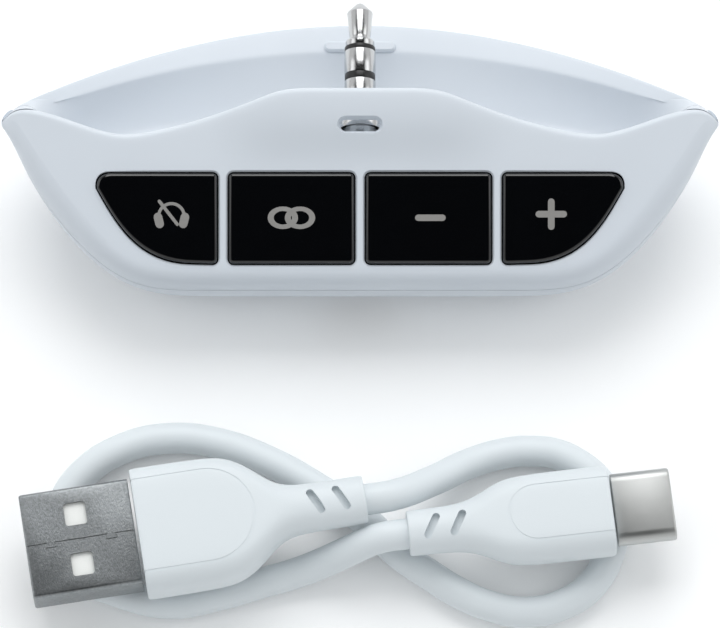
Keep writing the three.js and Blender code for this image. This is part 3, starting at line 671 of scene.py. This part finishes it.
# ---- Turned pieces of the headset plug, by radius and distance from the collar's face
TURNED = {
    "plug_tip": [(1.62, 8.8), (1.62, 9.42), (1.5, 9.56), (1.16, 9.72), (1.18, 10.1), (1.46, 12.86),
                 (1.4, 13.0), (0.5, 13.9), (0.36, 14.0)],
    "plug_ring_front": [(1.75, 5.5), (1.75, 8.25)],
    "plug_ring_rear": [(1.75, 2.3), (1.75, 4.7)],
    "plug_sleeve": [(1.75, 0.0), (1.75, 1.7)],
    "plug_collar": [(2.1, -3.8), (2.1, -1.2), (2.5, -1.2), (2.5, 0.0)],
}
BANDS = {"plug_band_front": (8.25, 8.8), "plug_band_middle": (4.7, 5.5), "plug_band_rear": (1.7, 2.3)}
EDGE = 0.06


def turned(name, profile, material):
    """A piece turned about the plug's axis, its outer corners eased"""
    ends = [(0, profile[0][1]), *profile, (0, profile[-1][1])]
    bm = bmesh.new()
    line = [bm.verts.new((r, y, 12)) for r, y in ends]
    for a, b in zip(line, line[1:]):
        bm.edges.new((a, b))
    bmesh.ops.spin(bm, geom=bm.verts[:] + bm.edges[:], cent=(0, 0, 12), axis=(0, 1, 0),
                   angle=math.tau, steps=64, use_merge=True)
    bmesh.ops.remove_doubles(bm, verts=bm.verts, dist=1e-4)
    bmesh.ops.recalc_face_normals(bm, faces=bm.faces)
    corners = [e for e in bm.edges if len(e.link_faces) == 2 and e.calc_face_angle() > math.radians(50)]
    bmesh.ops.bevel(bm, geom=corners, offset=EDGE, segments=2, profile=0.5, affect="EDGES", material=-1)
    obj = to_object(bm, name + "_turned")
    piece(obj, material, replaced=[name])


def headset_plug():
    for name, profile in TURNED.items():
        turned(name, profile, turned_nickel)
    for name, (y0, y1) in BANDS.items():
        turned(name, [(1.72, y0 + 0.01), (1.72, y1 - 0.01)], black_moulding)


# ---- Plugs of the charging lead, in their own frames: x from the relief's end to the metal shell
A_PLUG = PLACE @ Matrix.Translation((0.55, -42.8, 7.6)) @ Matrix.Rotation(math.radians(-170.8), 4, "Z")
C_PLUG = PLACE @ Matrix.Translation((5.3, -46.5, 6.8)) @ Matrix.Rotation(math.radians(6.7), 4, "Z")
A_OUTLINE = [(0, 2.62), (0.5, 2.68), (3.5, 2.66), (7, 2.66), (8.6, 2.82), (9.8, 3.3), (11, 4.2), (12.4, 5.45),
             (14, 6.5), (15.6, 7.05), (18, 7.2), (21.5, 7.22), (24.4, 7.24), (25.3, 7.2)]
C_OUTLINE = [(0, 2.5), (0.5, 2.55), (3, 2.56), (5, 2.62), (6.6, 2.85), (8, 3.35), (9.4, 4.1), (10.8, 4.72),
             (12.4, 5.0), (15, 5.08), (18, 5.1), (21.7, 5.1), (22.6, 5.05)]


def grip_ring(x, half_width, half_height, corner):
    """A rounded rectangle section across a grip"""
    r = min(corner, half_width * 0.98, half_height * 0.98)
    w, h = half_width - r, half_height - r
    corners = ((w, -h, -90), (w, h, 0), (-w, h, 90), (-w, -h, 180))
    return [(x, y, z) for cy, cz, turn in corners for y, z in arc(cy, cz, r, turn, turn + 90, 4)]


def grip_body(name, outline, height, relief_height, matrix, inset=0):
    """The soft-shouldered form of a grip, all over smaller by `inset`"""
    length = outline[-1][0]

    def ring(x, half, tall, corner):
        return grip_ring(x, half - inset, tall / 2 - inset, corner)
    rings = [ring(inset, outline[0][1] - 0.2, relief_height - 0.4, 2.1)]
    for x, half in outline:
        t = smooth(x, 4, length * 0.55)
        rings.append(ring(min(x, length - inset), half, lerp(relief_height, height, t), lerp(2.3, 2.6, t)))
    rings.append(ring(length - inset, outline[-1][1] - 0.3, height - 0.6, 2.3))
    obj = to_object(tube(rings), name, matrix)
    subdivide(obj, 2)
    return obj


def panel_outline(length, panel_length, half, grow):
    """Open towards the metal shell, with a round end towards the cord"""
    start = length - panel_length + half
    open_end = [(length + 2, -half - grow), (length + 2, half + grow)]
    return open_end + arc(start, 0, half + grow, 90, 270, 40)


GROOVE_WIDTH, GROOVE_DEPTH = 0.3, 0.05


def grip(name, outline, height, relief_height, panel, slots, matrix):
    """White moulded grip: a panel lined out on both faces and two slanted slots in its relief"""
    length = outline[-1][0]
    obj = grip_body(name + "_moulding", outline, height, relief_height, matrix)
    panel_length, panel_width = panel
    lower = grip_body("under_groove", outline, height, relief_height, matrix, GROOVE_DEPTH)
    for side in (1, -1):
        levels = sorted([(side * 1.5, 0), (side * (height / 2 + 1), 0)])
        line, inner = [to_object(prism(lambda g: panel_outline(length, panel_length, panel_width / 2, grow),
                                       levels), "line", matrix) for grow in (0, -GROOVE_WIDTH)]
        inner.scale.z = 1.02
        carve(line, inner)
        carve(line, lower, keep=True)
        carve(obj, line)
    bpy.data.objects.remove(lower)
    cutters = []
    for x, angle in slots:
        for side in (1, -1):
            slot_bm = prism(lambda g: pill(3.1 + g, 0.85 + g), [(0, 0), (0.95, 0), (1.3, 0.25), (4, 0.25)])
            slot_bm.transform(Matrix.Translation((x, 0, side * (relief_height / 2 - 0.95)))
                              @ Matrix.Rotation(math.radians(angle), 4, "Z")
                              @ Matrix.Rotation(0 if side > 0 else math.pi, 4, "X"))
            cutters.append(to_object(slot_bm, "slot_cutter", matrix))
    carve(obj, *cutters)
    return piece(obj, white_grip, replaced=[name], sharp=30)


def grips():
    grip("a_plug_grip", A_OUTLINE, 7.4, 5.2, (13.1, 10.8), [(2.65, 115.2), (5.5, 115.2)], A_PLUG)
    grip("c_plug_grip", C_OUTLINE, 6.0, 5.0, (11.5, 6.5), [(2.65, 60.6), (5.55, 60.6)], C_PLUG)


def sleeve(name, outline, start, length, wall, matrix, cutters, material):
    """A plug's metal shell: a folded sleeve with an open mouth"""
    outer = [(start, outline(-0.05)), (start + 0.1, outline(0)), (start + length - 0.25, outline(0)),
             (start + length - 0.08, outline(-0.05)), (start + length, outline(-0.14))]
    inner = [(start + length, outline(-wall)), (start + 0.4, outline(-wall))]
    rings = [[(x, y, z) for y, z in ring] for x, ring in outer + inner]
    obj = to_object(tube(rings), name + "_sleeve", matrix)
    if cutters:
        carve(obj, *[to_object(bm, "cutter", matrix) for bm in cutters])
    return piece(obj, material, replaced=[name], sharp=35)


def rounded_box(half_y, half_z, r, grow):
    y, z = half_y + grow - r, half_z + grow - r
    corners = ((y, -z, -90), (y, z, 0), (-y, z, 90), (-y, -z, 180))
    return [point for cy, cz, turn in corners for point in arc(cy, cz, r, turn, turn + 90, 5)]


def rounded_hole(length, width, centre, r=0.35):
    half_l, half_w = length / 2, width / 2
    outline = (arc(half_l - r, -half_w + r, r, -90, 0) + arc(half_l - r, half_w - r, r, 0, 90)
               + arc(-half_l + r, half_w - r, r, 90, 180) + arc(-half_l + r, -half_w + r, r, 180, 270))
    bm = prism(lambda grow: [(x, y) for x, y in outline], [(-1.5, 0), (1.5, 0)])
    bm.transform(Matrix.Translation(centre))
    return bm


def fold_seam(start):
    """Hairline where the sheet meets, with two dovetail locks; short straight cuts end to end"""
    places = [(0.2, 0), (2.2, 0), (2.0, 0.55), (3.3, 0.55), (3.1, 0), (8.9, 0), (8.7, 0.55), (10, 0.55),
              (9.8, 0), (12.6, 0)]
    cuts = []
    for (x0, y0), (x1, y1) in zip(places, places[1:]):
        bm = rounded_hole(math.hypot(x1 - x0, y1 - y0) + 0.08, 0.09, (0, 0, 0), 0.04)
        bm.transform(Matrix.Translation((start + (x0 + x1) / 2, (y0 + y1) / 2, 3.63))
                     @ Matrix.Rotation(math.atan2(y1 - y0, x1 - x0), 4, "Z"))
        cuts.append(bm)
    return cuts


def plug_shells():
    start = 25.6
    windows = [rounded_hole(2.4, 2.6, (start + 6.2, side * 2.88, 2.3)) for side in (-1, 1)]
    seam = fold_seam(start)
    sleeve("a_plug_shell", lambda grow: rounded_box(6, 2.25, 0.45, grow), start, 12.1, 0.3, A_PLUG,
           windows + seam, drawn_nickel)
    sleeve("c_plug_shell", lambda grow: [(y, z) for y, z in pill(8.25 + 2 * grow, 2.4 + 2 * grow, 12)],
           22.9, 6.5, 0.3, C_PLUG, [], satin_nickel)
    bm = tube([[(x, y, z) for y, z in pill(7.25, 1.4, 8)] for x in (23.5, 25.7)])
    piece(to_object(bm, "c_plug_insert_block", C_PLUG), black_moulding,
          replaced=["c_plug_insert"])


# ---- Light, floor and backdrop
def area_light(name, place, target, size, power, colour=(1, 1, 1)):
    data = bpy.data.lights.new(name, "AREA")
    data.shape, data.size, data.energy, data.color = "SQUARE", size, power, colour
    light = bpy.data.objects.new(name, data)
    bpy.context.scene.collection.objects.link(light)
    light.location = place
    light.rotation_euler = (Vector(target) - Vector(place)).to_track_quat("-Z", "Y").to_euler()


def lights():
    area_light("softbox_back", (0, 0.4, 0.52), (0, 0, 0), 0.5, 2.5)
    area_light("softbox_left", (-0.5, 0.05, 0.4), (0, 0, 0), 0.35, 0.35)
    area_light("softbox_right", (0.5, 0.05, 0.4), (0, 0, 0), 0.35, 0.4)


def world():
    w = bpy.data.worlds.new("studio")
    bpy.context.scene.world = w
    w.use_nodes = True
    nodes, links = w.node_tree.nodes, w.node_tree.links
    nodes.clear()
    seen = nodes.new("ShaderNodeBackground")
    fill = nodes.new("ShaderNodeBackground")
    fill.inputs["Color"].default_value = (0.95, 0.98, 1, 1)
    fill.inputs["Strength"].default_value = 0.68
    rays = nodes.new("ShaderNodeLightPath")
    sums = [nodes.new("ShaderNodeMath") for _ in range(2)]
    for node in sums:
        node.operation = "MAXIMUM"
    links.new(rays.outputs["Is Camera Ray"], sums[0].inputs[0])
    links.new(rays.outputs["Is Glossy Ray"], sums[0].inputs[1])
    links.new(sums[0].outputs[0], sums[1].inputs[0])
    links.new(rays.outputs["Is Transmission Ray"], sums[1].inputs[1])
    # White all round near the horizon, dark overhead, so that the keys stay black
    coord = nodes.new("ShaderNodeTexCoord")
    split = nodes.new("ShaderNodeSeparateXYZ")
    links.new(coord.outputs["Generated"], split.inputs[0])
    ramp = nodes.new("ShaderNodeMapRange")
    for socket, value in zip(("From Min", "From Max", "To Min", "To Max"), (0.55, 0.8, 1.0, 0.02)):
        ramp.inputs[socket].default_value = value
    links.new(split.outputs["Z"], ramp.inputs["Value"])
    links.new(ramp.outputs[0], seen.inputs["Strength"])
    blend = nodes.new("ShaderNodeMixShader")
    links.new(sums[1].outputs[0], blend.inputs[0])
    links.new(fill.outputs[0], blend.inputs[1])
    links.new(seen.outputs[0], blend.inputs[2])
    links.new(blend.outputs[0], nodes.new("ShaderNodeOutputWorld").inputs["Surface"])


def floor():
    bm = bmesh.new()
    bmesh.ops.create_grid(bm, x_segments=1, y_segments=1, size=3)
    obj = to_object(bm, "floor", Matrix.Identity(4))
    finish = Finish("white_paper", Roughness=0.9, Specular_IOR_Level=0.1)
    finish.colour(finish.noise(0.02), srgb(252, 252, 252), srgb(254, 254, 254))
    obj.data.materials.append(finish.material)


jacket = lead_cord()
finish_cad_nodes()
build_shells()
for key in KEYS:
    key_cap(key)
key_signs()
headset_plug()
grips()
plug_shells()
lights()
world()
floor()
bpy.context.scene.view_settings.view_transform = "Standard"
